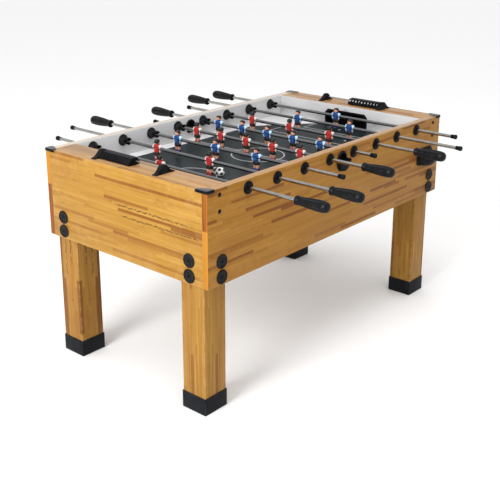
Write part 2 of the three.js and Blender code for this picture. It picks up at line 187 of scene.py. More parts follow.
# ---- material graphs
class Graph:
    """One material's nodes, with short names for the ones used here."""

    def __init__(self, name, color=(0.8, 0.8, 0.8), roughness=0.5, **sockets):
        self.material = bpy.data.materials.new(name)
        self.material.use_nodes = True
        self.tree = self.material.node_tree
        self.shader = self.tree.nodes["Principled BSDF"]
        self.set("Base Color", color)
        self.set("Roughness", roughness)
        for socket, value in sockets.items():
            self.set(socket.replace("_", " "), value)
        self.place = self.node("ShaderNodeTexCoord").outputs["Object"]
        self.x, self.y, self.z = self.node("ShaderNodeSeparateXYZ", (self.place,)).outputs

    def join(self, socket, value):
        """Links a node's output to a socket, or sets the socket to a number, vector or colour."""
        if isinstance(value, bpy.types.NodeSocket):
            self.tree.links.new(value, socket)
        elif value is not None:
            socket.default_value = (*value, 1) if socket.type == "RGBA" else value

    def set(self, socket, value):
        self.join(self.shader.inputs[socket], value)

    def node(self, kind, inputs=(), **settings):
        made = self.tree.nodes.new(kind)
        for key, value in settings.items():
            setattr(made, key, value)
        for socket, value in zip(made.inputs, inputs):
            self.join(socket, value)
        return made

    def math(self, operation, *values):
        return self.node("ShaderNodeMath", values, operation=operation).outputs[0]

    def mul(self, a, b):
        return self.math("MULTIPLY", a, b)

    def add(self, a, b):
        return self.math("ADD", a, b)

    def sub(self, a, b):
        return self.math("SUBTRACT", a, b)

    def abs(self, value):
        return self.math("ABSOLUTE", value)

    def vector(self, x, y, z):
        return self.node("ShaderNodeCombineXYZ", (x, y, z)).outputs[0]

    def scaled(self, x, y, z):
        """The place, stretched by one factor along each axis."""
        return self.vector(self.mul(self.x, x), self.mul(self.y, y), self.mul(self.z, z))

    def noise(self, vector, scale=1, detail=2, rough=0.5):
        inputs = (vector, None, scale, detail, rough)
        return self.node("ShaderNodeTexNoise", inputs, noise_dimensions="3D").outputs["Fac"]

    def span(self, value, low, high, to_low=0, to_high=1):
        inputs = (value, low, high, to_low, to_high)
        return self.node("ShaderNodeMapRange", inputs, clamp=True).outputs[0]

    def ramp(self, value, stops):
        """One flat colour from each stop up to the next."""
        made = self.node("ShaderNodeValToRGB", (value,))
        ramp = made.color_ramp
        ramp.interpolation = "CONSTANT"
        while len(ramp.elements) < len(stops):
            ramp.elements.new(0.5)
        for element, (position, color) in zip(ramp.elements, stops):
            element.position = position
            element.color = (*color, 1)
        return made.outputs[0]

    def mix(self, amount, a, b, blend="MIX"):
        made = self.node("ShaderNodeMix", data_type="RGBA", blend_type=blend)
        for index, value in ((0, amount), (6, a), (7, b)):
            self.join(made.inputs[index], value)
        return made.outputs[2]

    def edge_wear(self, amount):
        """The amount on rounded edges, broken up by noise, and 0 on flat faces along the axes."""
        normal = self.node("ShaderNodeNewGeometry").outputs["Normal"]
        x, y, z = (self.abs(part) for part in self.node("ShaderNodeSeparateXYZ", (normal,)).outputs)
        slope = self.span(self.math("MAXIMUM", self.math("MAXIMUM", x, y), z), 0.999, 0.93)
        patches = self.span(self.noise(self.place, 38, 3), 0.42, 0.6)
        return self.mul(self.mul(slope, patches), amount)

    def done(self, tone, rough, height, depth, strength=0.5):
        """Links the colour, the roughness and a bump of a depth in metres, and gives the material."""
        bump = self.node("ShaderNodeBump", (strength, depth))
        self.join(bump.inputs["Height"], height)
        self.set("Base Color", tone)
        self.set("Roughness", rough)
        self.set("Normal", bump.outputs[0])
        return self.material


def strip_wood(name, along, across, palette, strip, length, seed, streaks, grain=1, gloss=0, veins=()):
    """Butcher-block laminate: narrow strips of uneven length, each with its own tone, offset and grain.

    A vein is a wavering mineral line: its place across the strips, the middle of its run, its half length.
    """
    g = Graph(name, roughness=0.4, Specular_IOR_Level=0.14, Coat_Weight=gloss, Coat_Roughness=0.14)
    axes = {"X": g.x, "Y": g.y, "Z": g.z}
    run = axes[along]
    side = axes[across] if across in axes else g.add(g.x, g.y)
    lane = g.math("DIVIDE", side, strip)
    row = g.math("FLOOR", lane)
    row_random = g.node("ShaderNodeTexWhiteNoise", (None, g.add(row, seed)), noise_dimensions="1D")
    start = g.mul(row_random.outputs["Value"], 41)
    flow = g.add(g.math("DIVIDE", run, length), start)
    wander = g.noise(g.vector(g.mul(flow, 0.9), g.mul(row, 5.3), seed), 1, 0)
    flow = g.add(flow, g.mul(wander, 1.6))
    cell = g.math("FLOOR", flow)
    chance = g.node("ShaderNodeTexWhiteNoise", (g.vector(row, cell, seed),), noise_dimensions="3D")
    tone = g.ramp(chance.outputs["Value"], palette)
    offset = g.node("ShaderNodeVectorMath", (chance.outputs["Color"], (9, 9, 9)), operation="MULTIPLY")

    def own(lengthwise, crosswise):
        """A stretched place that jumps from strip to strip."""
        place = g.vector(g.mul(run, lengthwise), g.mul(side, crosswise), g.mul(row, 3.1))
        return g.node("ShaderNodeVectorMath", (place, offset.outputs[0]), operation="ADD").outputs[0]

    def shared(lengthwise, crosswise):
        """A stretched place that runs on over all strips."""
        return g.vector(g.mul(run, lengthwise), g.mul(side, crosswise), seed)

    fibre = g.noise(own(9, 520), 1, 4, 0.62)
    figure = g.noise(own(3.2, 90), 1, 3, 0.55)
    pores = g.span(g.noise(own(55, 1500), 1, 1), 0.66, 0.74)
    cloud = g.noise(shared(2.6, 9), 1, 2)
    tone = g.mix(g.span(figure, 0.34, 0.74, 0, 0.34 * grain), tone, (0.42, 0.22, 0.06), "MULTIPLY")
    tone = g.mix(g.span(fibre, 0.35, 0.75, 0, 0.26 * grain), tone, (0.5, 0.32, 0.15), "MULTIPLY")
    tone = g.mix(g.span(cloud, 0.3, 0.7, 0, 0.22 * grain), tone, (0.66, 0.48, 0.3), "MULTIPLY")
    # Thin dark mineral streaks in a few stretches, and the veins asked for.
    waver = g.noise(own(7, 60), 1, 2)
    line = g.span(g.abs(g.sub(waver, 0.5)), 0, 0.022, 1, 0)
    patch = g.span(g.noise(shared(5, 22), 1, 0), 0.6, 0.68)
    streak = g.mul(g.mul(line, patch), streaks)
    jog = g.noise(shared(34, 0), 1, 4, 0.75)
    breaks = g.span(g.noise(shared(75, 60), 1, 2), 0.36, 0.5)
    for place, middle, half in veins:
        bent = g.add(g.sub(side, place), g.mul(g.sub(jog, 0.5), 0.03))
        thin = g.span(g.abs(bent), 0.0012, 0.0034, 1, 0)
        within = g.span(g.abs(g.sub(run, middle)), half * 0.85, half, 1, 0)
        vein = g.mul(g.mul(thin, within), g.mul(breaks, 0.95))
        streak = g.math("MAXIMUM", streak, vein)
    tone = g.mix(streak, tone, (0.085, 0.036, 0.01))
    # Glue lines along the strips and at their ends.
    edge = g.abs(g.sub(g.math("FRACT", lane), 0.5))
    butt = g.abs(g.sub(g.math("FRACT", flow), 0.5))
    seam_along = g.span(edge, 0.5 - 0.00035 / strip, 0.5)
    seam_end = g.span(butt, 0.5 - 0.0005 / length, 0.5)
    seam = g.math("MAXIMUM", seam_along, seam_end)
    tone = g.mix(g.mul(seam, 0.2), tone, (0.14, 0.06, 0.015))
    tone = g.mix(g.mul(pores, 0.14), tone, (0.12, 0.05, 0.015))
    wear = g.edge_wear(0.3)
    tone = g.mix(wear, tone, (0.6, 0.42, 0.22))
    smudge = g.noise(g.place, 6, 3)
    rough = g.add(g.span(smudge, 0.3, 0.7, 0.34, 0.48), g.mul(fibre, 0.08))
    height = g.sub(g.mul(fibre, 0.5), g.add(g.mul(seam, 0.7), pores))
    return g.done(tone, g.add(rough, g.mul(wear, 0.2)), height, 0.00012)


# Each palette gives the share of the strips from which on a tone is used.
HONEY = [
    (0, (0.396, 0.216, 0.035)), (0.16, (0.412, 0.227, 0.039)), (0.3, (0.384, 0.206, 0.032)),
    (0.44, (0.403, 0.22, 0.036)), (0.56, (0.424, 0.236, 0.043)), (0.66, (0.388, 0.209, 0.032)),
    (0.77, (0.352, 0.18, 0.025)), (0.845, (0.23, 0.092, 0.011)), (0.9, (0.258, 0.109, 0.014)),
    (0.945, (0.304, 0.14, 0.019)),
]
RIM = [
    (0, (0.366, 0.204, 0.076)), (0.25, (0.425, 0.254, 0.11)), (0.5, (0.322, 0.172, 0.058)),
    (0.72, (0.392, 0.225, 0.09)), (0.93, (0.262, 0.122, 0.036)),
]
# The rear boards' rim is the same wood as the front rim, given in pale grey: a painted sheen on the far rim.
PAINTED_SHEEN_RIM = [(0, (0.52, 0.45, 0.38)), (0.45, (0.58, 0.51, 0.44)), (0.8, (0.5, 0.42, 0.34))]


def toned_batch_or_shade(palette, red, green, blue):
    """The same strips scaled per colour: wood of another batch, or a darker copy that is painted shade."""
    return [(place, (r * red, g * green, b * blue)) for place, (r, g, b) in palette]


def edge_band():
    """The side boards' end edges, banded with two pieces of different tone that meet part of the way up."""
    g = Graph("edge_band", roughness=0.38, Specular_IOR_Level=0.12)
    meet = 0.652
    above = g.math("GREATER_THAN", g.z, meet)
    front = g.math("LESS_THAN", g.y, 0)
    same = g.math("COMPARE", above, front, 0.5)
    fibre = g.noise(g.vector(g.mul(g.y, 420), g.x, g.mul(g.z, 9)), 1, 4, 0.6)
    band = g.span(g.noise(g.vector(g.mul(g.y, 150), 0, g.mul(g.z, 3)), 1, 1), 0.35, 0.65)
    dark = g.mix(band, (0.15, 0.038, 0.005), (0.33, 0.11, 0.012))
    light = g.mix(band, (0.4, 0.165, 0.014), (0.45, 0.205, 0.024))
    tone = g.mix(same, light, dark)
    tone = g.mix(g.span(fibre, 0.35, 0.75, 0, 0.35), tone, (0.45, 0.25, 0.1), "MULTIPLY")
    return g.done(tone, g.span(fibre, 0.2, 0.8, 0.33, 0.46), fibre, 0.0002)


def white_board(name, dull, clean):
    g = Graph(name, roughness=0.34, Specular_IOR_Level=0.4)
    peel = g.noise(g.place, 420, 2)
    cloud = g.noise(g.place, 5, 4, 0.6)
    scuffs = g.span(g.noise(g.scaled(14, 14, 240), 1, 3), 0.64, 0.72)
    # Darker towards the foot of the wall, by the field, in cloudy patches.
    near_floor = g.span(g.z, FIELD_TOP + 0.03, FIELD_TOP, 0, 0.2)
    tone = g.mix(g.span(cloud, 0.3, 0.7), dull, clean)
    tone = g.mix(g.mul(scuffs, 0.12), tone, (0.3, 0.3, 0.31))
    darker_foot_tone = tuple(0.72 * part for part in dull)
    tone = g.mix(g.mul(near_floor, g.span(cloud, 0.4, 0.7)), tone, darker_foot_tone)
    return g.done(tone, g.span(cloud, 0.3, 0.7, 0.28, 0.42), peel, 0.00006)


def field_print():
    """Dark printed board: a green-grey ink with a fine linen press mark."""
    g = Graph("printed_field", roughness=0.36, Specular_IOR_Level=0.1, IOR=1.3)
    cloud = g.noise(g.place, 3.2, 4, 0.6)
    speck = g.noise(g.place, 700, 2)
    tone = g.mix(g.span(cloud, 0.3, 0.7), (0.014, 0.021, 0.023), (0.022, 0.03, 0.032))
    tone = g.mix(g.span(speck, 0.5, 0.75, 0, 0.35), tone, (0.04, 0.048, 0.051))
    rubbed = g.span(g.noise(g.scaled(90, 4, 0), 1, 3), 0.6, 0.75)
    tone = g.mix(g.mul(rubbed, 0.2), tone, (0.052, 0.06, 0.063))
    weave_x, weave_y = (g.math("SINE", g.mul(part, 5200)) for part in (g.x, g.y))
    return g.done(tone, g.span(cloud, 0.3, 0.7, 0.28, 0.42), g.mul(weave_x, weave_y), 0.00002, 0.4)


def line_paint():
    g = Graph("field_lines", roughness=0.5)
    worn = g.noise(g.place, 60, 4, 0.65)
    tone = g.mix(g.span(worn, 0.35, 0.65), (0.36, 0.375, 0.38), (0.52, 0.53, 0.53))
    return g.done(tone, g.span(worn, 0.3, 0.7, 0.4, 0.55), worn, 0.00004)


def raw_board():
    g = Graph("raw_fibreboard", roughness=0.85)
    chips = g.noise(g.place, 260, 4, 0.7)
    cloud = g.noise(g.place, 8, 3)
    tone = g.mix(g.span(chips, 0.35, 0.65), (0.3, 0.2, 0.115), (0.43, 0.31, 0.19))
    tone = g.mix(g.span(cloud, 0.3, 0.7, 0, 0.3), tone, (0.22, 0.14, 0.08))
    return g.done(tone, g.span(chips, 0.3, 0.7, 0.75, 0.92), chips, 0.0003)


def plastic(name, color, roughness, specular, ior=1.22, texture=700, depth=0.00002, wear=None, metal=0):
    """Moulded plastic: a fine spark-eroded texture, uneven gloss and pale rubbed edges."""
    g = Graph(name, color, roughness, Specular_IOR_Level=specular, IOR=ior, Metallic=metal)
    fine = g.noise(g.place, texture, 2)
    cloud = g.noise(g.place, 28, 4, 0.6)
    light = tuple(min(1, c * 1.25 + 0.006) for c in color)
    tone = g.mix(g.span(cloud, 0.35, 0.7), color, light)
    if wear:
        tone = g.mix(g.edge_wear(0.35), tone, wear)
    rough = g.span(cloud, 0.3, 0.7, roughness - 0.07, roughness + 0.1)
    return g.done(tone, rough, fine, depth, 0.6)


def chrome(name, darkened_inside):
    """Drawn and chromed steel: lengthwise marks, smudges and, between the boards, a painted dark reflection
    of the field.
    """
    g = Graph(name, (0.35, 0.34, 0.33), 0.12, Metallic=1)
    drawn = g.noise(g.scaled(900, 5, 900), 1, 3, 0.6)
    smudge = g.noise(g.place, 26, 4, 0.65)
    tone = g.mix(g.span(smudge, 0.35, 0.7), (0.31, 0.3, 0.29), (0.4, 0.39, 0.375))
    if darkened_inside:
        # Painted shade: between the boards the chrome is darkened, standing in for the dark field it
        # reflects there.
        ragged = g.add(g.abs(g.y), g.mul(smudge, 0.02))
        painted_dark_reflection = g.span(ragged, INNER_W, INNER_W + 0.03, 1, 0)
        tone = g.mix(g.mul(painted_dark_reflection, 0.9), tone, (0.155, 0.158, 0.165))
    rough = g.add(g.span(smudge, 0.3, 0.7, 0.07, 0.16), g.mul(drawn, 0.06))
    return g.done(tone, rough, drawn, 0.000004, 0.35)


def cloth_paint(name, color, roughness=0.42):
    """Paint on a moulded figure: glossy, its tone a little paler or deeper in patches."""
    g = Graph(name, color, roughness, Specular_IOR_Level=0.2, Coat_Weight=0.06, Coat_Roughness=0.2)
    brush = g.noise(g.place, 330, 3, 0.6)
    cloud = g.noise(g.place, 70, 2)
    thin = tuple(min(1, c * 1.18 + 0.01) for c in color)
    deep = tuple(c * 0.78 for c in color)
    tone = g.mix(g.span(cloud, 0.3, 0.7), deep, thin)
    rough = g.span(brush, 0.3, 0.7, roughness - 0.06, roughness + 0.1)
    return g.done(tone, rough, brush, 0.00003)


PALE_WEAR = {"wear": (0.028, 0.029, 0.031)}
BALL_SKIN = {"texture": 500, "depth": 0.00008}
# key: name, colour, roughness, specular level, and what differs from the usual plastic
PLASTICS = {
    "black": ("black_plastic", (0.003, 0.0032, 0.004), 0.4, 0.16, PALE_WEAR),
    "bearing": ("bearing_plastic", (0.0026, 0.0028, 0.0036), 0.34, 0.12, PALE_WEAR),
    "cover": ("bolt_cover_plastic", (0.0046, 0.0042, 0.0046), 0.42, 0.3, PALE_WEAR),
    "grip": ("grip_rubber", (0.0036, 0.0039, 0.0048), 0.32, 0.3,
             {"texture": 620, "depth": 0.00003, "ior": 1.25}),
    "foot": ("foot_plastic", (0.0052, 0.0058, 0.008), 0.5, 0.3,
             {"texture": 520, "depth": 0.00005, "wear": (0.04, 0.043, 0.05)}),
    "grey_plastic": ("grey_plastic", (0.36, 0.37, 0.38), 0.4, 0.3, {}),
    "bead": ("bead_plastic", (0.003, 0.0032, 0.004), 0.36, 0.16, {}),
    # The corner caps' top faces: the plastic's own gloss, with a lighter grey that is a painted highlight.
    "cap_top_highlight": ("corner_cap_painted_highlight", (0.05, 0.05, 0.06), 0.3, 0.4, {"ior": 1.35}),
    "numeral": ("numeral_paint", (0.74, 0.74, 0.72), 0.5, 0.3, {}),
    "steel": ("screw_steel", (0.5, 0.5, 0.51), 0.3, 0.5, {"texture": 500, "ior": 1.45, "metal": 1}),
    "ball": ("ball_plastic", (0.82, 0.82, 0.8), 0.3, 0.5, {"ior": 1.45, **BALL_SKIN}),
    "ball_dark": ("ball_dark_plastic", (0.022, 0.022, 0.024), 0.3, 0.3, BALL_SKIN),
}
PLAYER_PAINTS = {
    "red": (0.36, 0.016, 0.013),
    "blue": (0.007, 0.038, 0.165),
    "blue_patch": (0.02, 0.085, 0.28),
    "white": (0.68, 0.62, 0.6),
    "pale_blue": (0.4, 0.6, 0.74),
    "black": (0.008, 0.007, 0.0075),
    "skin": (0.62, 0.29, 0.19),
    "red_boot": (0.2, 0.012, 0.014),
    "blue_boot": (0.035, 0.022, 0.12),
    "black_hair": (0.006, 0.005, 0.006),
    "brown_hair": (0.022, 0.01, 0.005),
}
END_VEINS = ((0.652, -0.15, 0.19), (0.616, -0.18, 0.19))
LEG_VEINS = ((-0.36, 0.43, 0.14), (-0.386, 0.46, 0.11))
# name: along, across, palette, strip's width and length, seed, streaks, grain, gloss, veins
WOODS = {
    # The side boards' wood is the end boards' honey made darker and greyer: painted shade of the long sides.
    "wood_side_painted_shade": ("X", "Z", toned_batch_or_shade(HONEY, 0.9, 0.8, 0.7), 0.0107, 0.24, 3, 0.5),
    "wood_end": ("Y", "Z", HONEY, 0.0107, 0.26, 21, 0.4, 1, 0, END_VEINS),
    "wood_leg": ("Z", "XY", toned_batch_or_shade(HONEY, 0.94, 0.95, 1.1), 0.0125, 0.24, 8, 0.6, 1.7, 0, LEG_VEINS),
    "rim_side": ("X", "Y", RIM, 0.0152, 0.55, 5, 0.2, 0.7, 0.35),
    "rim_end": ("Y", "X", RIM, 0.022, 0.42, 12, 0.3, 0.8, 0.16),
    "rim_rear_painted_sheen": ("X", "Y", PAINTED_SHEEN_RIM, 0.0152, 0.55, 5, 0.1, 0.4, 0.4),
}


def make_materials():
    made = {
        "edge": edge_band(),
        "white": white_board("white_laminate", (0.6, 0.595, 0.6), (0.66, 0.655, 0.66)),
        # A darker copy of the white laminate for the end walls: painted shade.
        "white_end_painted_shade": white_board("white_laminate_painted_shade", (0.45, 0.445, 0.45), (0.5, 0.495, 0.49)),
        # A lighter copy of the white laminate for the upward-facing strips and ramps: painted light.
        "white_strip_painted_light": white_board("white_laminate_painted_light", (0.68, 0.678, 0.69), (0.75, 0.747, 0.76)),
        "field": field_print(),
        "lines": line_paint(),
        "raw": raw_board(),
        "chrome": chrome("chromed_steel", True),
        "wire": chrome("scorer_wire_steel", False),
    }
    for key, settings in WOODS.items():
        made[key] = strip_wood(key, *settings)
    for key, (name, color, roughness, specular, more) in PLASTICS.items():
        made[key] = plastic(name, color, roughness, specular, **more)
    for key, color in PLAYER_PAINTS.items():
        made[f"player_{key}"] = cloth_paint(f"player_{key}", color)
    return made


# ---- mesh helpers
def box_mesh(low, high, bevel=0, segments=2):
    bm = bmesh.new()
    bmesh.ops.create_cube(bm, size=1)
    low, high = Vector(low), Vector(high)
    for v in bm.verts:
        v.co = Vector(low[i] + (v.co[i] + 0.5) * (high[i] - low[i]) for i in range(3))
    if bevel:
        bmesh.ops.bevel(bm, geom=bm.edges[:], offset=bevel, segments=segments, profile=0.5, affect="EDGES")
    return bm


def square_post(x, y, half, low, high, bevel=0):
    return box_mesh((x - half, y - half, low), (x + half, y + half, high), bevel, 3)


def join_rings(bm, a, b):
    """Joins two rings of vertices. A ring of one vertex is a tip."""
    for i in range(max(len(a), len(b))):
        j = (i + 1) % max(len(a), len(b))
        if len(a) == 1:
            bm.faces.new((a[0], b[j], b[i]))
        elif len(b) == 1:
            bm.faces.new((a[i], a[j], b[0]))
        else:
            bm.faces.new((a[i], a[j], b[j], b[i]))


def revolve(profile, steps=32, closed=False, radius=None):
    """Turns [radius, height] pairs about Z. radius(angle, r, z) may change a ring's shape."""
    bm = bmesh.new()
    rings = []
    for r, z in profile:
        if r < TINY:
            rings.append([bm.verts.new((0, 0, z))])
            continue
        ring = []
        for i in range(steps):
            angle = 2 * pi * i / steps
            shaped = radius(angle, r, z) if radius else r
            ring.append(bm.verts.new((shaped * cos(angle), shaped * sin(angle), z)))
        rings.append(ring)
    for a, b in zip(rings, rings[1:] + rings[:1] if closed else rings[1:]):
        join_rings(bm, a, b)
    return bm


def loft(sections):
    """Joins rings of points, all of the same length, and closes both ends."""
    bm = bmesh.new()
    rings = [[bm.verts.new(p) for p in section] for section in sections]
    for a, b in zip(rings, rings[1:]):
        join_rings(bm, a, b)
    bm.faces.new(list(reversed(rings[0])))
    bm.faces.new(rings[-1])
    return bm


def prism(outline, axis, low, high):
    """Pushes an outline of (a, b) pairs along axis: X gives (y, z), Y gives (x, z) and Z gives (x, y)."""
    def point(a, b, depth):
        return {"X": (depth, a, b), "Y": (a, depth, b), "Z": (a, b, depth)}[axis]
    return loft([[point(a, b, depth) for a, b in outline] for depth in (low, high)])


def arc(steps, start=0, stop=2 * pi):
    """Cosines and sines from one angle to another, both ends included."""
    angles = [start + (stop - start) * i / steps for i in range(steps + 1)]
    return [(cos(angle), sin(angle)) for angle in angles]


def oval(x, y, z, half_x, half_y, power, steps=20):
    """A rounded ring in the plane of height z. A higher power gives squarer corners."""
    ring = []
    for c, s in arc(steps)[:-1]:
        across = half_x * copysign(abs(c) ** (2 / power), c)
        deep = half_y * copysign(abs(s) ** (2 / power), s)
        ring.append((x + across, y + deep, z))
    return ring


def moved(bm, matrix):
    bmesh.ops.transform(bm, matrix=matrix, verts=bm.verts)
    return bm


def shifted(bm, x, y, z):
    return moved(bm, Matrix.Translation((x, y, z)))


def facing_y(x, y, z, outward=1):
    """The matrix that lays a piece made on Z along Y, pointing to +Y or -Y, at a place."""
    return Matrix.Translation((x, y, z)) @ Matrix.Rotation(-pi / 2 * outward, 4, "X")


def along_y(bm, *place):
    return moved(bm, facing_y(*place))


def along_x(bm, x, y, z, outward):
    lay = Matrix.Rotation(pi / 2 * outward, 4, "Y")
    return moved(bm, Matrix.Translation((x, y, z)) @ lay)


def bar_y(radius, x, low, high, z, steps=48):
    length = high - low
    return along_y(revolve([(0, 0), (radius, 0), (radius, length), (0, length)], steps), x, low, z)


def to_mesh(bm, name):
    bmesh.ops.recalc_face_normals(bm, faces=bm.faces)
    mesh = bpy.data.meshes.new(name)
    bm.to_mesh(mesh)
    bm.free()
    return mesh


def paint(bm, rule):
    """Puts each face in the material slot that rule(face) gives."""
    for face in bm.faces:
        face.material_index = rule(face)


def add(target, extra, slot=0):
    """Joins one mesh into another, with all of its faces in one material slot."""
    paint(extra, lambda face: slot)
    held = to_mesh(extra, "held")
    target.from_mesh(held)
    bpy.data.meshes.remove(held)


def discard(obj, library):
    data = obj.data
    bpy.data.objects.remove(obj)
    library.remove(data)


def applied(obj, library=None):
    """The object's shape with its modifiers applied, as a bmesh. The object is removed."""
    evaluated = obj.evaluated_get(bpy.context.evaluated_depsgraph_get())
    bm = bmesh.new()
    bm.from_mesh(evaluated.to_mesh())
    evaluated.to_mesh_clear()
    discard(obj, library or bpy.data.meshes)
    return bm


def modified(bm, kind, **settings):
    held = new_object("held", to_mesh(bm, "held"))
    modifier = held.modifiers.new("shape", kind)
    for key, value in settings.items():
        setattr(modifier, key, value)
    return applied(held)


def cut(bm, *cutters):
    """Takes the cutters' solids out of a solid."""
    for cutter in cutters:
        tool = new_object("cutter", to_mesh(cutter, "cutter"))
        bm = modified(bm, "BOOLEAN", operation="DIFFERENCE", solver="EXACT", object=tool)
        discard(tool, bpy.data.meshes)
    return bm


def rounded(bm, width, segments=2, angle=40):
    """Rounds the edges sharper than an angle in degrees."""
    limit = {"limit_method": "ANGLE", "angle_limit": radians(angle), "use_clamp_overlap": True}
    return modified(bm, "BEVEL", width=width, segments=segments, **limit)


def smoothed(bm):
    return modified(bm, "SUBSURF", levels=1)


def finish_piece(name, bm, materials, replaces=(), matrix=None, body="cabinet", sharp=32):
    """Makes the object, gives it its materials, puts it under its body and hides the parts that it replaces.
    """
    if matrix is not None:
        moved(bm, matrix)
    bmesh.ops.remove_doubles(bm, verts=bm.verts, dist=WELD)
    return place_mesh(name, to_mesh(bm, name), materials, replaces, None, body, sharp)


def place_mesh(name, mesh, materials, replaces=(), matrix=None, body="cabinet", sharp=32):
    if not mesh.materials:
        for material in materials:
            mesh.materials.append(M[material])
        mesh.shade_smooth()
        mesh.set_sharp_from_angle(angle=radians(sharp))
    made = new_object(name, mesh)
    if matrix is not None:
        made.matrix_world = matrix
    bpy.context.view_layer.update()
    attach(made, body)
    if replaces:
        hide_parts(*replaces)
    return made


# ---- cabinet
def is_top(face):
    return face.normal.z > FACING and face.calc_center_median().z > TOP - SKIN_DEPTH


def side_panel(side, matrix):
    low, high = Vector((-HALF_L, -HALF_W, APRON_BOTTOM)), Vector((HALF_L, -INNER_W, TOP))
    beyond = 0.005
    slot_half, slot_top = 0.027, 0.657
    front, back = low.y - beyond, high.y + beyond
    cutters = [bar_y(PANEL_BORE_R, rod_x(i), front, back, ROD_Z) for i in range(ROD_COUNT)]
    cutters.append(bar_y(ENTRY_R + 0.005, 0, front, back, ENTRY_Z))
    slot_low = (RETURN_X - slot_half, front, SLOT_LOW)
    cutters.append(box_mesh(slot_low, (RETURN_X + slot_half, back, slot_top)))
    groove_end = FIELD_HALF + WALL_T + GAP
    groove_low = (-groove_end, -INNER_W - GROOVE, FIELD_TOP - FIELD_T - GAP)
    cutters.append(box_mesh(groove_low, (groove_end, back, FIELD_TOP + GAP)))
    # The end boards stand in a rebate in each end of the side boards.
    for sign in (-1, 1):
        near, far = sorted((sign * (HALF_L - END_T - GAP), sign * (HALF_L + beyond)))
        rebate_low = (near, -INNER_W - REBATE, APRON_BOTTOM - beyond)
        cutters.append(box_mesh(rebate_low, (far, back, TOP + beyond)))
    bm = cut(box_mesh(low, high, 0.0016, 3), *cutters)
    wood, lining, rim, edge, raw = range(5)
    lining_low = FIELD_TOP - FIELD_T - 0.004

    def slot(face):
        centre = face.calc_center_median()
        if abs(face.normal.x) > FACING and abs(centre.x) > HALF_L - SKIN_DEPTH:
            return edge
        if centre.y > -INNER_W - 0.001 and face.normal.y > FACING:
            return lining if centre.z > lining_low else raw
        return rim if is_top(face) else wood

    paint(bm, slot)
    looks = ("wood_side_painted_shade", "white", "rim_side" if side == "front" else "rim_rear_painted_sheen", "edge", "raw")
    finish_piece(f"{side}_side_board", bm, looks, (f"{side}_side_panel",), matrix)


def end_boards(end, matrix):
    half = INNER_W - GAP
    inner = HALF_L - END_T
    wide = INNER_W + REBATE - GAP
    board = box_mesh((inner, -wide, APRON_BOTTOM), (HALF_L, wide, TOP), 0.0006, 2)
    paint(board, lambda face: 2 if face.normal.x < -FACING else int(is_top(face)))
    looks = ("wood_end", "rim_end", "raw")
    finish_piece(f"{end}_end_board", board, looks, (f"{end}_end_panel",), matrix)
    rail = box_mesh((FIELD_HALF + WALL_T + GAP, -half, TOP - RAIL_T), (inner - GAP, half, TOP), 0.0007, 2)
    finish_piece(f"{end}_top_rail", rail, ("rim_end",), (f"{end}_end_rail",), matrix)


def mouth(margin, bottom):
    """The goal mouth's outline in Y and Z, grown by a margin at its sides and top."""
    half = GOAL_HALF + margin
    top = FIELD_TOP + GAP + GOAL_HEIGHT + margin
    corner = GOAL_CHAMFER
    return [
        (-half, bottom), (-half, top - corner), (corner - half, top),
        (half - corner, top), (half, top - corner), (half, bottom),
    ]


def goal(end, matrix):
    half = INNER_W - GAP
    wall = box_mesh((FIELD_HALF, -half, FIELD_TOP + GAP), (FIELD_HALF + WALL_T, half, TOP), 0.0007, 2)
    clear, past = 0.003, 0.01
    opening = prism(mouth(clear, FIELD_TOP - 0.002), "X", FIELD_HALF - past, FIELD_HALF + WALL_T + past)
    wall = cut(wall, opening)
    paint(wall, lambda face: int(is_top(face)))
    looks = ("white_end_painted_shade", "rim_end")
    finish_piece(f"{end}_end_lining", wall, looks, (f"{end}_goal_wall",), matrix)
    screw_places = ((-0.148, 0.722), (0.148, 0.722), (0, 0.766))
    screws = bmesh.new()
    for y, z in screw_places:
        add(screws, along_x(screw_head(0.0038, 0.0016), FIELD_HALF - GAP, y, z, -1))
    finish_piece(f"{end}_goal_screws", screws, ("steel",), (), matrix)
    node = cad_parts[f"{end}_goal_box"]
    node.data.materials.clear()
    node.data.materials.append(M["black"])


def screw_head(radius, height):
    """A domed head with a cross recess, standing on the plane z = 0."""
    steps = 5
    dome = [(0, -0.0005), (radius, -0.0005), (radius, height * 0.25)]
    for i in range(1, steps):
        angle = pi / 2 * i / steps
        dome.append((radius * cos(angle) * 0.96, height * (0.25 + 0.75 * sin(angle))))
    dome.append((0, height))
    wide, long = radius * 0.11, radius * 0.55
    low, high = height * 0.45, height * 1.5
    cross = [box_mesh((-a, -b, low), (a, b, high)) for a, b in ((wide, long), (long, wide))]
    return cut(revolve(dome, 24), *cross)


def panel_screws(side, matrix):
    screws = bmesh.new()
    for x in (-SCREW_X, SCREW_X):
        for z in SCREW_Z:
            add(screws, along_y(screw_head(0.0072, 0.003), x, -HALF_W, z, -1))
    finish_piece(f"{side}_panel_screws", screws, ("cover",), (), matrix)


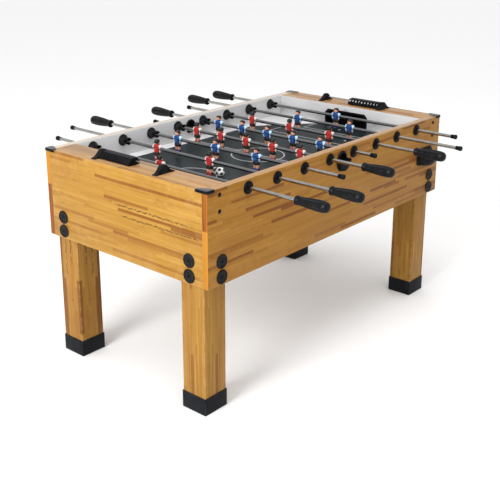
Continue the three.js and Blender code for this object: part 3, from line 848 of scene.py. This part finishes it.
def corner_cap(name, sign_x, sign_y):
    """A thin plastic cap over a top corner, with lips down both outer faces."""
    over, plate_t, lip_h = 0.003, 0.002, 0.0075
    in_x, in_y = HALF_L - 0.03, HALF_W - 0.048
    out_x, out_y = HALF_L + over, HALF_W + over
    plate = [
        (in_x, out_y), (out_x - 0.006, out_y), (out_x, out_y - 0.006),
        (out_x, in_y), (HALF_L - 0.01, in_y), (in_x, HALF_W - 0.012),
    ]
    bm = rounded(prism(plate, "Z", TOP + GAP, TOP + GAP + plate_t), 0.0008)
    skin_x, skin_y = HALF_L + GAP / 2, HALF_W + GAP / 2
    skirt = [
        (in_x, skin_y), (in_x, out_y), (out_x - 0.005, out_y),
        (out_x, out_y - 0.005), (out_x, in_y), (skin_x, in_y), (skin_x, skin_y),
    ]
    add(bm, prism(skirt, "Z", TOP - lip_h, TOP + GAP + plate_t * 0.6))
    # The upward faces take a glossier, lighter grey: the gloss is the plastic's, the lighter grey a painted
    # highlight.
    paint(bm, lambda face: int(face.normal.z > 0.7))
    mirror = Matrix.Diagonal((sign_x, sign_y, 1, 1))
    finish_piece(name, bm, ("black", "cap_top_highlight"), (), mirror, sharp=40)


def leg(side, end, sign_x, sign_y):
    node = f"leg_{side}_{end}"
    x, y = sign_x * LEG_X, sign_y * LEG_Y
    post = square_post(x, y, LEG_HALF, LEG_FOOT, LEG_TOP, 0.0022)
    finish_piece(f"leg_post_{side}_{end}", post, ("wood_leg",), (node,))
    covers = bmesh.new()
    for z in BOLT_Z:
        add(covers, along_x(bolt_cover(), sign_x * HALF_L, y, z, sign_x))
        add(covers, along_y(bolt_cover(), x, sign_y * HALF_W, z, sign_y))
    finish_piece(f"bolt_covers_{side}_{end}", covers, ("cover",), (node,))
    inner, outer, top, floor = 0.0503, 0.053, 0.062, 0.004
    sleeve = cut(square_post(x, y, outer, 0, top, 0.003), square_post(x, y, inner, floor, top + 0.01))
    cap = f"foot_cap_{side}_{end}"
    finish_piece(f"foot_sleeve_{side}_{end}", sleeve, ("foot",), (cap,))


def bolt_cover():
    """A round cover with a raised rim, a ring groove and a hexagon recess in its middle."""
    r = BOLT_HEAD_R
    rim = mm((0.6, 0.1), (0, 1), (0, 2.6), (1.2, 4.2), (3, 4.9), (5.2, 4.7), (6.6, 3.8))
    middle = mm((12, 3.6), (9.5, 4.2), (7.6, 4.8), (6.2, 4.7), (0, 4.7))
    disc = revolve([(0, 0.0001)] + [(r - inwards, z) for inwards, z in rim] + middle, 48)
    recess = [(0.0036 * c, 0.0036 * s) for c, s in arc(6)[:-1]]
    return cut(disc, prism(recess, "Z", 0.0016, 0.008))


# ---- field
def field_board():
    half_x, half_y = FIELD_HALF + WALL_T, INNER_W + GROOVE - GAP
    board = box_mesh((-half_x, -half_y, FIELD_TOP - FIELD_T), (half_x, half_y, FIELD_TOP), 0.0004, 1)
    paint(board, lambda face: int(face.normal.z <= FACING))
    finish_piece("field_board", board, ("field", "raw"), ("playfield",))


def sloping_strip(side, sign):
    wall = INNER_W - GAP
    steps = 8
    outline = [(sign * wall, FIELD_TOP - 0.0001)]
    for i in range(steps + 1):
        t = i / steps
        rise = STRIP_RISE * (0.35 * t + 0.65 * t * t) + 0.0001
        outline.append((sign * (STRIP_EDGE + (wall - STRIP_EDGE) * t), FIELD_TOP + rise))
    end = FIELD_HALF - GAP
    finish_piece(f"{side}_side_strip", prism(outline, "X", -end, end), ("white_strip_painted_light",))


def corner_ramp(side, end, sign_x, sign_y):
    """A dished triangular ramp that rises from the field to the corner of the walls."""
    limit_x, limit_y = FIELD_HALF - GAP, INNER_W - GAP
    foot_a, foot_b = Vector((CORNER_X, STRIP_EDGE)), Vector((limit_x, CORNER_Y))
    wall_a, wall_b = Vector((CORNER_X, limit_y)), Vector((limit_x, limit_y))
    across, up = 14, 10
    lift, tuck = 0.0003, 0.0002
    bm = bmesh.new()
    grid = []
    for i in range(across + 1):
        s = i / across
        near = foot_a.lerp(foot_b, s)
        # The far side follows the long wall and then the corner, so that both walls are reached.
        far = wall_a.lerp(wall_b, min(1, s * 1.6)) if i < across else foot_b + Vector((0, 0.0012))
        column = []
        for j in range(up + 1):
            t = j / up
            flat = near.lerp(far, t)
            rise = CORNER_RISE * (0.3 * t + 0.7 * t * t)
            rise *= 0.5 + 0.5 * min(1, s * 2.2)
            column.append(bm.verts.new((sign_x * flat.x, sign_y * flat.y, FIELD_TOP + rise + lift)))
        grid.append(column)
    for a, b in zip(grid, grid[1:]):
        for j in range(up):
            bm.faces.new((a[j], b[j], b[j + 1], a[j + 1]))
    skirt = bmesh.ops.extrude_edge_only(bm, edges=[e for e in bm.edges if e.is_boundary])
    for v in skirt["geom"]:
        if isinstance(v, bmesh.types.BMVert):
            v.co.z = FIELD_TOP - tuck
    bmesh.ops.holes_fill(bm, edges=[e for e in bm.edges if e.is_boundary], sides=0)
    finish_piece(f"corner_ramp_{side}_{end}", bm, ("white_strip_painted_light",))


def ribbon(points, width, closed=False):
    """A flat painted line through (x, y) points, a quarter of a millimetre thick."""
    z, thick = FIELD_TOP + 0.00002, 0.00025
    points = [Vector(p) for p in points]
    count = len(points)
    bm = bmesh.new()
    rows = []
    for i, p in enumerate(points):
        before = points[i - 1] if i > 0 or closed else p
        after = points[(i + 1) % count] if i < count - 1 or closed else p
        first, second = p - before, after - p
        if first.length < TINY:
            first = second
        if second.length < TINY:
            second = first
        n1, n2 = (Vector((-step.y, step.x)).normalized() for step in (first, second))
        side = (n1 + n2).normalized()
        side *= width / 2 / max(0.3, side.dot(n1))
        left, right = p + side, p - side
        corners = ((*left, z), (*right, z), (*right, z + thick), (*left, z + thick))
        rows.append([bm.verts.new(corner) for corner in corners])
    for a, b in zip(rows, rows[1:] + rows[:1] if closed else rows[1:]):
        join_rings(bm, a, b)
    if not closed:
        bm.faces.new(list(reversed(rows[0])))
        bm.faces.new(rows[-1])
    return bm


def field_lines():
    width = 0.0045
    circle_r, spot_r = 0.1025, 0.0045
    area_x, area_y = 0.487, 0.148
    box_x, box_y = 0.34, 0.222
    bow_x, bow_r = 0.38, 0.1
    dash_half, dash_width = 0.008, 0.0085
    dashes = ((0.245, 0), (0.405, 0.128), (0.405, -0.128), (0.545, 0))
    lines = bmesh.new()
    add(lines, ribbon([(circle_r * c, circle_r * s) for c, s in arc(96)[:-1]], width, closed=True))
    add(lines, ribbon([(0, -STRIP_EDGE), (0, STRIP_EDGE)], width))
    bow = acos((bow_x - box_x) / bow_r)
    for sign in (-1, 1):
        for start, stop, y in ((FIELD_HALF, area_x, area_y), (area_x, box_x, box_y)):
            a, b = sign * start, sign * stop
            add(lines, ribbon([(a, y), (b, y), (b, -y), (a, -y)], width))
        middle = pi if sign > 0 else 0
        turns = arc(40, middle - bow, middle + bow)
        add(lines, ribbon([(sign * bow_x + bow_r * c, bow_r * s) for c, s in turns], width))
        for x, y in dashes:
            add(lines, ribbon([(sign * x - dash_half, y), (sign * x + dash_half, y)], dash_width))
    add(lines, ribbon([(spot_r * c, spot_r * s) for c, s in arc(24)[:-1]], 2 * spot_r, closed=True))
    finish_piece("field_lines", lines, ("lines",))


# ---- ball entries and returns
def scoop(half_width, depth, height, shrink, wall):
    """A half-round cup that hangs on the plane y = 0 and stands out towards -Y: its solid and its hollow."""
    steps, levels = 28, 10

    def level(inset, t, z):
        share = shrink + (1 - shrink) * sin(pi / 2 * t) ** 0.8
        half, reach = half_width * share - inset, depth * share - inset
        return [(half * c, -reach * s, z) for c, s in arc(steps, 0, pi)]

    shares = [i / levels for i in range(levels + 1)]
    outer = [level(0, t, height * t) for t in shares]
    inner = [level(wall, t, wall + (height - wall) * t + 0.0001) for t in shares]
    inner.append(level(wall, 1, height + 0.01))
    return loft(outer), loft(inner)


def ball_entry(side, matrix):
    outside, inside = -HALF_W - GAP, -INNER_W + GAP
    cup_y, cup_z = outside - 0.003, 0.698
    outer, inner = scoop(0.034, 0.034, 0.04, 0.5, 0.003)
    bore_span = (0, outside - 0.02, inside + 0.02, ENTRY_Z)
    hollow = shifted(inner, 0, cup_y, cup_z)
    shell = cut(shifted(outer, 0, cup_y + 0.002, cup_z), hollow, bar_y(ENTRY_R, *bore_span))
    tube = bar_y(ENTRY_R + 0.004, 0, outside - 0.004, inside + 0.004, ENTRY_Z)
    bm = bmesh.new()
    add(bm, rounded(shell, 0.0008, 2, 50))
    add(bm, cut(tube, bar_y(ENTRY_R, *bore_span)))
    hood = mm((0, 0), (8, 0), (8.4, 1.2), (7.4, 3.4), (3, 5.2), (0, 4.6))
    for trim, y, outward in ((0, outside, -1), (0.0006, inside, 1)):
        lip = [(ENTRY_R + (a - trim if a else 0), b) for a, b in hood]
        add(bm, along_y(revolve(lip, 56, closed=True), 0, y, ENTRY_Z, outward))
    # Each level of the chin: half widths, reach and drop, first of its top and then of its bottom edge.
    chin = mm((22, 17, 0, 0, 12, 29), (19, 15, 9, 7, 15.5, 26), (13, 12, 12, 11, 18, 22))
    levels = []
    for top, low, out_top, out_low, down_top, down_low in chin:
        corners = ((-top, out_top, down_top), (top, out_top, down_top), (low, out_low, down_low))
        corners += ((-low, out_low, down_low),)
        levels.append([(x, inside + out, ENTRY_Z - down) for x, out, down in corners])
    add(bm, rounded(loft(levels), 0.0015, 3, 30))
    node = f"{side}_ball_entry"
    finish_piece(f"{side}_entry_moulding", bm, ("black",), (node,), matrix, sharp=45)
    dish = mm((-13.5, 0), (13.5, 0), (15, 3.5), (12.5, 1.6), (-12.5, 1.6), (-15, 3.5))
    slide_down, slide_fall = 0.0152, 0.0022
    slide = prism(dish, "Y", outside + 0.004, inside + 0.006)
    for v in slide.verts:
        share = (v.co.y - outside) / (inside - outside)
        v.co.z += ENTRY_Z - slide_down - slide_fall * share
    slide = rounded(slide, 0.0004)
    finish_piece(f"{side}_entry_slide", slide, ("grey_plastic",), (), matrix)


def ball_return(side, matrix):
    plate_t = 0.004
    back = -HALF_W - GAP
    front = back - plate_t
    corners = mm((62, 603), (62, 640), (40, 667), (-40, 667), (-62, 640), (-62, 603), (-40, 595), (40, 595))
    outline = [(RETURN_X + x, z) for x, z in corners]
    slot_half, slot_top = 0.0243, 0.6543
    slot_low = (RETURN_X - slot_half, back - 0.03, SLOT_LOW)
    slot = box_mesh(slot_low, (RETURN_X + slot_half, back + 0.002, slot_top))
    plate = cut(prism(outline, "Y", front, back), slot)
    outer, inner = scoop(0.056, 0.053, 0.042, 0.6, 0.003)
    cup = cut(shifted(outer, RETURN_X, front + 0.0015, RETURN_Z), shifted(inner, RETURN_X, front, RETURN_Z))
    bm = bmesh.new()
    add(bm, rounded(plate, 0.0012, 2, 30))
    add(bm, rounded(cup, 0.0009, 2, 50))
    lip_half, lip_reach, lip_z, steps = 0.0545, 0.0515, 0.6385, 28
    half_ring = arc(steps, 0, pi)
    lip = [Vector((RETURN_X + lip_half * c, front - lip_reach * s, lip_z)) for c, s in half_ring]
    add(bm, tube_along(lip, 0.0021))
    screw_out, screw_z = 0.05, 0.644
    for x in (RETURN_X - screw_out, RETURN_X + screw_out):
        add(bm, along_y(screw_head(0.0036, 0.0016), x, front, screw_z, -1))
    node = f"{side}_ball_return"
    finish_piece(f"{side}_return_moulding", bm, ("black",), (node,), matrix, sharp=45)


def tube_along(points, radius, steps=10):
    """A round bar through the points, closed at both ends."""
    sections = []
    for i, p in enumerate(points):
        ahead = (points[min(i + 1, len(points) - 1)] - points[max(i - 1, 0)]).normalized()
        up = Vector((0, 0, 1)) if abs(ahead.z) < 0.9 else Vector((1, 0, 0))
        side = ahead.cross(up).normalized()
        up = side.cross(ahead)
        sections.append([p + side * radius * c + up * radius * s for c, s in arc(steps)[:-1]])
    return loft(sections)


# ---- scorers
def arch(half, x, z):
    """A half outline of (x, z) pairs from its foot up, with its mirror image, at a place."""
    return [(x + a, z + b) for a, b in half] + [(x - a, z + b) for a, b in reversed(half)]


def scorer(end, matrix):
    seat = TOP + GAP
    half = mm((42, 0), (42, 2.8), (31, 5.2), (24, 10.5), (16.5, 20), (10.5, 26.8), (5.5, 28.8))
    outline = arch(half, SCORER_X, seat)
    width, lean, height, screw_out = 0.02, 0.006, 0.029, 0.034
    brackets = bmesh.new()
    for sign in (-1, 1):
        inner, outer = sign * SCORER_SPAN, sign * (SCORER_SPAN + width)
        block = prism(outline, "Y", min(inner, outer), max(inner, outer))
        for v in block.verts:
            if abs(v.co.y - outer) < TINY:
                v.co.y -= sign * lean * max(0, (v.co.z - seat) / height)
        add(brackets, rounded(block, 0.0014, 3, 25))
        for x in (SCORER_X - screw_out, SCORER_X + screw_out):
            add(brackets, shifted(screw_head(0.003, 0.0012), x, (inner + outer) / 2, seat + 0.004))
    node = (f"{end}_scorer_frame",)
    finish_piece(f"{end}_scorer_brackets", brackets, ("black",), node, matrix, sharp=40)
    reach = SCORER_SPAN + 0.004
    wire = bar_y(0.002, SCORER_X, -reach, reach, WIRE_Z, 20)
    finish_piece(f"{end}_scorer_wire", wire, ("wire",), node, matrix)
    score_beads(end, matrix)


def score_beads(end, matrix):
    body = f"{end}_score_beads"
    start = -SCORER_SPAN + GAP
    seat = TOP + 0.002
    bead_bore, past = 0.0026, 0.01
    number_x, number_z = 0.019, 0.0155
    outline = arch(mm((25, 0), (25, 7), (13, 24)), SCORER_X, seat)
    slope = Vector((0.012, 0, 0.017)).normalized()
    out = Vector((-slope.z, 0, slope.x))
    turn = Matrix(((0, slope.x, out.x, 0), (-1, slope.y, out.y, 0), (0, slope.z, out.z, 0), (0, 0, 0, 1)))
    numbers = bmesh.new()
    for i in range(BEAD_COUNT):
        y = start + i * BEAD_PITCH
        bore = bar_y(bead_bore, SCORER_X, y - past, y + BEAD_T + past, WIRE_Z, 24)
        bead = cut(rounded(prism(outline, "Y", y, y + BEAD_T), 0.0008, 3, 20), bore)
        finish_piece(f"{end}_bead_{i + 1}", bead, ("bead",), (body,), matrix, body, 30)
        middle = Vector((SCORER_X - number_x, y + BEAD_T / 2, seat + number_z)) + out * 0.0001
        add(numbers, moved(numeral(str(i + 1)), Matrix.Translation(middle) @ turn))
    finish_piece(f"{end}_bead_numbers", numbers, ("numeral",), (), matrix, body)


def numeral(text):
    curve = bpy.data.curves.new("numeral", "FONT")
    curve.body = text
    curve.size = 0.0105
    curve.extrude = 0.00015
    curve.align_x = "CENTER"
    curve.align_y = "CENTER"
    bm = applied(new_object("numeral", curve), bpy.data.curves)
    bmesh.ops.remove_doubles(bm, verts=bm.verts, dist=WELD)
    return bm


# ---- rods
def figure(team):
    """A moulded player on the rod's axis, facing +X."""
    jersey, sleeve, shorts, skin, boot, hair, patch = range(7)
    bm = bmesh.new()

    def body(slot, rows, power=2.6):
        """Rows of height, middle x and half sizes, in millimetres."""
        rings = [oval(x, 0, z, half_x, half_y, power) for z, x, half_x, half_y in mm(*rows)]
        add(bm, smoothed(loft(rings)), slot)

    def limb(slot, rows, power, steps):
        """Rows of height, middle x and y and half sizes, in millimetres."""
        rings = [oval(x, sign * y, z, half_x, half_y, power, steps) for z, x, y, half_x, half_y in mm(*rows)]
        add(bm, smoothed(loft(rings)), slot)

    def dot(slot, rows, steps, lay, *place):
        """A small round part of radius and height rows, laid by along_x or along_y. All in millimetres."""
        x, y, z, outward = place
        add(bm, lay(revolve(mm(*rows), steps), x / 1000, y / 1000, z / 1000, outward), slot)

    body(jersey, (
        (-14.5, 0, 8, 10), (-13.8, 0, 9.4, 11.8), (-9, 0, 9.6, 12), (0, 0.5, 10.4, 13.6),
        (6, 0.8, 10.6, 15.2), (10.5, 0.4, 9.8, 15.8), (13.5, 0, 8, 12.8), (15.2, 0, 5.8, 7), (16, 0, 5, 5.6),
    ))
    body(shorts, (
        (-13.5, 0, 8.6, 10.8), (-14, 0, 9.8, 12.1), (-21.5, 0, 9.8, 12.4), (-27.2, 0, 10, 12.8),
        (-28.2, 0, 8.8, 11.6),
    ), 3.2)
    body(skin, ((13.5, 0, 4, 4.2), (16, 0, 3.8, 4), (20, 0, 4, 4.2)))
    body(skin, (
        (15, 0.6, 3.4, 3.4), (16, 1, 6.4, 6), (19, 1.2, 8.2, 8), (23.5, 0.8, 9, 8.8), (28, 0.2, 8.4, 8.4),
        (30.5, 0, 6, 6), (31.4, 0, 2.8, 2.8),
    ))
    body(hair, (
        (18.6, -4.4, 4, 6.2), (20.2, -3.6, 6.4, 8.6), (24.5, -2, 8.8, 10), (28.5, -0.4, 10, 10.2),
        (31.8, 0.4, 8.8, 8.6), (33.7, 0.2, 5.6, 5.4), (34.2, 0, 2.6, 2.6),
    ))
    dot(skin, ((0, 0), (1.3, 0.2), (1, 1.4), (0, 1.9)), 10, along_x, 9.3, 0, 21.8, 1)
    for sign in (-1, 1):
        dot(hair, ((0, 0), (0.8, 0.1), (0.6, 0.5), (0, 0.7)), 10, along_x, 8.7, sign * 3.4, 23.8, 1)
        dot(skin, ((0, -0.4), (1.9, 0), (1.7, 0.9), (0, 1.2)), 12, along_y, 1.2, sign * 8.6, 21.2, sign)
        limb(sleeve, (
            (13.6, 0.2, 12.8, 4.4, 2.4), (12.6, 0.2, 14.6, 7, 4.2), (7, 0.2, 17.2, 7, 4.4),
            (0, 0.2, 17.6, 6.2, 4), (-7, 0.2, 16.2, 5.6, 3.7), (-12, 0.2, 14.8, 5, 3.3),
            (-13.2, 0.2, 14.4, 3.4, 2),
        ), 2.3, 14)
        limb(skin, (
            (-12, 0.6, 14.4, 3.6, 2.3), (-15, 0.6, 13.9, 3.8, 2.5), (-17.2, 0.6, 13.4, 2.4, 1.6),
        ), 2.2, 12)
        limb(skin, (
            (-26.5, 0, 5.6, 6.8, 5.2), (-31, 0.4, 5.6, 6.6, 5.3), (-35, -0.6, 5.6, 6.2, 5.1),
            (-39.5, 0, 5.6, 5.8, 4.8), (-42, 0, 5.6, 5.6, 4.7),
        ), 2.4, 14)
    body(boot, (
        (-39.5, 0, 6.6, 9.8), (-40.2, 0, 7.6, 10.6), (-45, 0.6, 9.2, 11), (-50, 1, 10.4, 11.2),
        (-52.4, 1, 10.4, 11), (-53.2, 1, 8.8, 9.6),
    ), 4.5)
    if team == BLUE:
        shield = mm((-6.2, -8.2), (6.2, -8.2), (7.4, 4), (5, 8.8), (-5, 8.8), (-7.4, 4))
        front = prism(shield, "X", 0.006, 0.011)
        for v in front.verts:
            if v.co.x > 0.009:
                v.co.x = 0.01 + 0.0009 * (1 - (v.co.y / 0.0075) ** 2)
        add(bm, rounded(front, 0.0006, 2, 30), patch)
    return to_mesh(bm, f"figure_{team}")


def handle_mesh():
    """A fluted grip with a collar at z = 0 and a round end."""
    flutes, depth = 8, 0.0021
    bore = [(ROD_R + GAP, z) for z in (0.03, 0.0004)]
    grip = mm(
        (11.2, 0), (14.2, 0.6), (15.4, 2.4), (15.7, 5), (15.4, 7.8), (14.8, 10), (14.2, 12.2), (14, 14.5),
        (14.2, 18), (14.7, 23), (15.4, 30), (16.3, 40), (17.3, 51), (18.2, 63), (18.9, 75), (19.3, 85),
        (19.4, 94), (19, 102), (17.9, 109), (16, 114.6), (12.8, 118.8), (8.5, 121.2), (4, 121.8), (0, 121.9),
    )

    def fluted(angle, r, z):
        fade = min(1, max(0, (z - 0.017) / 0.02)) * min(1, max(0, (0.114 - z) / 0.016))
        wave = (0.5 - 0.5 * cos(flutes * angle)) ** 1.6
        return r - depth * fade * wave

    dense = []
    for (r0, z0), (r1, z1) in zip(bore[1:] + grip, grip):
        pieces = max(1, int(abs(z1 - z0) / 0.004))
        dense += [(r0 + (r1 - r0) * k / pieces, z0 + (z1 - z0) * k / pieces) for k in range(pieces)]
    profile = [(0, bore[0][1]), bore[0]] + dense + [grip[-1]]
    return to_mesh(revolve(profile, flutes * 8, radius=fluted), "handle")


def end_cap_mesh():
    profile = [(0, 0), (ROD_R + 0.0008, 0)] + mm(
        (7.8, 0.8), (8, 2.2), (7.8, 6), (7.9, 8.5), (8.3, 12), (8.8, 15.5), (9.1, 18.5), (9, 20.8),
        (8.2, 22.6), (6.4, 23.6), (3.4, 24), (0, 24),
    )
    return to_mesh(revolve(profile, 40), "end_cap")


def bearing_mesh():
    """Outer flange at z = 0 upwards; barrel down through the panel; disc and split, flared hub inside."""
    bore = ROD_R + GAP
    inner = -0.03 - GAP
    flange = mm(
        (9.4, 7.8), (11.2, 7), (12.8, 5.2), (19, 4.6), (21.2, 3.8), (22, 2.2), (22, 0.3), (13, 0.3),
    )
    disc = mm(
        (13, 0), (22.2, 0), (22.2, 2.2), (21.2, 4), (18.2, 5.4), (16.6, 8), (15.2, 12), (14.1, 16.5),
        (13.3, 21.5),
    )
    hub_end = (bore + 0.0002, inner - 0.0215)
    shell = [(bore, 0.0072)] + flange + [(r, inner - drop) for r, drop in disc] + [hub_end]
    bm = bmesh.new()
    add(bm, revolve(shell, 48, closed=True))
    spread = radians(70)
    # Each level of a jaw: its drop below the panel, its outer radius and its play on the rod.
    jaw = mm(
        (20.5, 13, 0.2), (24, 12.7, 0.3), (28, 12.6, 0.6), (32, 13.2, 1.2), (35, 13.9, 2.2), (36, 13.6, 2.6),
    )
    for middle in (pi / 2, pi * 1.5):
        turns = arc(14, middle - spread, middle + spread)
        sections = []
        for drop, outside, play in jaw:
            ring = [(outside * c, outside * s, inner - drop) for c, s in turns]
            inside = bore + play
            sections.append(ring + [(inside * c, inside * s, inner - drop) for c, s in reversed(turns)])
        add(bm, rounded(loft(sections), 0.0005, 2, 50))
    return to_mesh(bm, "bearing")


def make_rods():
    # jersey, sleeves, shorts, skin, boots, hair, patch
    paints = {
        RED: ("red", "white", "black", "skin", "red_boot", "black_hair", "red"),
        BLUE: ("blue", "pale_blue", "black", "skin", "blue_boot", "brown_hair", "blue_patch"),
    }
    figures = {team: figure(team) for team in (RED, BLUE)}
    handle, cap, bearing = handle_mesh(), end_cap_mesh(), bearing_mesh()
    chamfer = 0.0006
    for number, (kind, side, shift) in enumerate(RODS, 1):
        players, spacing, handle_end, cap_end = KINDS[kind]
        team = RED if side < 0 else BLUE
        node, body, x = (f"rod_{number}_{kind}",), f"rod_{number}", rod_x(number - 1)
        collar = side * (handle_end - HANDLE) + shift
        cap_inner = -side * (cap_end - END_CAP) + shift
        low, high = sorted((side * (handle_end - HANDLE + HANDLE_BORE) + shift, cap_inner - side * CAP_BORE))
        length = high - low
        shaft = revolve([
            (0, 0), (ROD_R - chamfer, 0), (ROD_R, chamfer),
            (ROD_R, length - chamfer), (ROD_R - chamfer, length), (0, length),
        ], 40)
        shaft = along_y(shaft, x, low, ROD_Z)
        finish_piece(f"rod_{number}_shaft", shaft, ("chrome",), node, None, body)
        at = facing_y(x, cap_inner, ROD_Z, -side)
        place_mesh(f"rod_{number}_end_cap", cap, ("black",), node, at, body)
        at = facing_y(x, collar, ROD_Z, side)
        grip = (f"handle_{number}",)
        place_mesh(f"rod_{number}_grip", handle, ("grip",), grip, at, body, 50)
        looks = [f"player_{paint}" for paint in paints[team]]
        turn = IDENTITY if team == RED else HALF_TURN
        for i in range(players):
            y = (i - (players - 1) / 2) * spacing + shift
            at = Matrix.Translation((x, y, ROD_Z)) @ turn
            place_mesh(f"player_{number}_{i + 1}", figures[team], looks, node, at, body, 50)
        for word, outward in (("front", -1), ("rear", 1)):
            at = facing_y(x, outward * HALF_W, ROD_Z, outward)
            bush = f"bearing_{number}_{word}"
            body = f"bearings_{number}"
            place_mesh(f"{bush}_bush", bearing, ("bearing",), (bush,), at, body, 40)


def make_ball():
    """A white ball with twelve dark five-sided patches and sunk seams round them."""
    patch_angle, seam_angle, seam_depth = 20.5, 1.6, 0.012
    bm = bmesh.new()
    bmesh.ops.create_icosphere(bm, subdivisions=5, radius=BALL_R)
    golden = (1 + sqrt(5)) / 2
    poles = []
    for a in (-1, 1):
        for b in (-golden, golden):
            poles += [Vector(p).normalized() for p in ((0, a, b), (a, b, 0), (b, 0, a))]
    edge = cos(radians(patch_angle))

    def nearness(point):
        towards = point.normalized()
        return max(towards.dot(pole) for pole in poles)

    paint(bm, lambda face: int(nearness(face.calc_center_median()) > edge))
    for v in bm.verts:
        nearest = nearness(v.co)
        off = abs(degrees(acos(min(1, nearest))) - patch_angle)
        v.co *= 1 - seam_depth * max(0, 1 - off / seam_angle)
    low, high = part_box("ball")
    centre = (Vector(low) + Vector(high)) / 2
    tilt = Matrix.Rotation(0.5, 4, "X") @ Matrix.Rotation(0.35, 4, "Y")
    at = Matrix.Translation(centre) @ tilt
    finish_piece("match_ball", bm, ("ball", "ball_dark"), ("ball",), at, sharp=60)


# ---- build
make_camera()
make_stage()
M = make_materials()
for side, matrix in SIDES:
    side_panel(side, matrix)
    panel_screws(side, matrix)
    ball_entry(side, matrix)
    ball_return(side, matrix)
for end, matrix in ENDS:
    end_boards(end, matrix)
    goal(end, matrix)
    scorer(end, matrix)
field_board()
field_lines()
for side, sign_y in (("front", -1), ("rear", 1)):
    sloping_strip(side, sign_y)
    for end, sign_x in (("left", -1), ("right", 1)):
        corner_ramp(side, end, sign_x, sign_y)
        corner_cap(f"corner_cap_{side}_{end}", sign_x, sign_y)
        leg(side, end, sign_x, sign_y)
make_rods()
make_ball()
